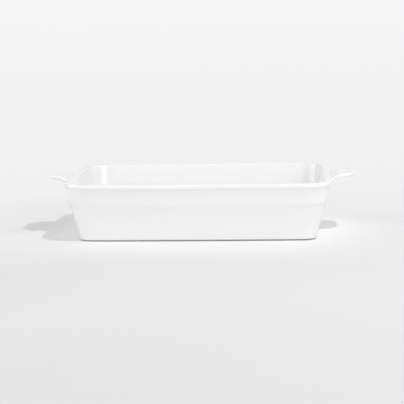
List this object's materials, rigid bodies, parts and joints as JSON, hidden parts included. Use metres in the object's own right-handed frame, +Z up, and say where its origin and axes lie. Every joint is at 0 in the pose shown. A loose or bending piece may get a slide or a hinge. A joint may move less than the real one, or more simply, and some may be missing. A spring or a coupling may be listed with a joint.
{
  "type": "lasagna dish",
  "caption": "Rectangular stoneware oven dish, open at the top, with flared walls, a stepped band, a rolled rim, a tab handle on each end and a low foot ring.",
  "frame": {"origin": "middle of the footprint, on the surface that the foot ring stands on", "axes": "+X along the dish through both handles, +Y across it, +Z up out of the open top"},
  "size_m": [0.392, 0.24, 0.0749],
  "materials": {
    "glaze": "gloss",
    "bare_clay": "matte"
  },
  "bodies": {
    "root": {"dish_body": "glaze", "left_handle": "glaze", "right_handle": "glaze", "foot_ring": "bare_clay"}
  },
  "joints": []
}
